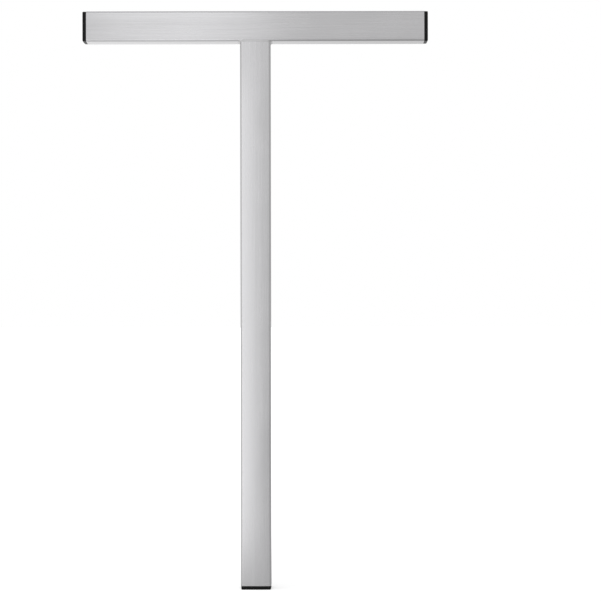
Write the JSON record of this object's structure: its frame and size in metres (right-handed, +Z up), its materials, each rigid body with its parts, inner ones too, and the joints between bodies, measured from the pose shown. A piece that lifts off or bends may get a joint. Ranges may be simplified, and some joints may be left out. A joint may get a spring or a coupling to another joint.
{
  "type": "t square",
  "caption": "T-shaped frame of brushed stainless square tube: a cross bar welded square across the top of a long post, its open ends closed by black plastic plugs.",
  "frame": {"origin": "centre of the foot plug's flat underside, on the post's axis, where the frame stands", "axes": "+Z up along the post to the cross bar, +X along the cross bar to the right seen from the front, +Y to the back; the front face is towards -Y"},
  "size_m": [0.4506, 0.04, 0.7548],
  "materials": {
    "brushed_steel": "stainless steel with a fine satin brush along each tube",
    "dressed_weld": "stainless weld, ground and brushed to match the tube",
    "black_plastic": "moulded black polyethylene, fine satin texture"
  },
  "bodies": {
    "root": {"cross_bar_tube": "brushed_steel", "post_tube": "brushed_steel", "weld_front": "dressed_weld", "weld_back": "dressed_weld", "weld_left": "dressed_weld", "weld_right": "dressed_weld", "end_plug_left": "black_plastic", "end_plug_right": "black_plastic", "foot_plug": "black_plastic"}
  },
  "joints": []
}
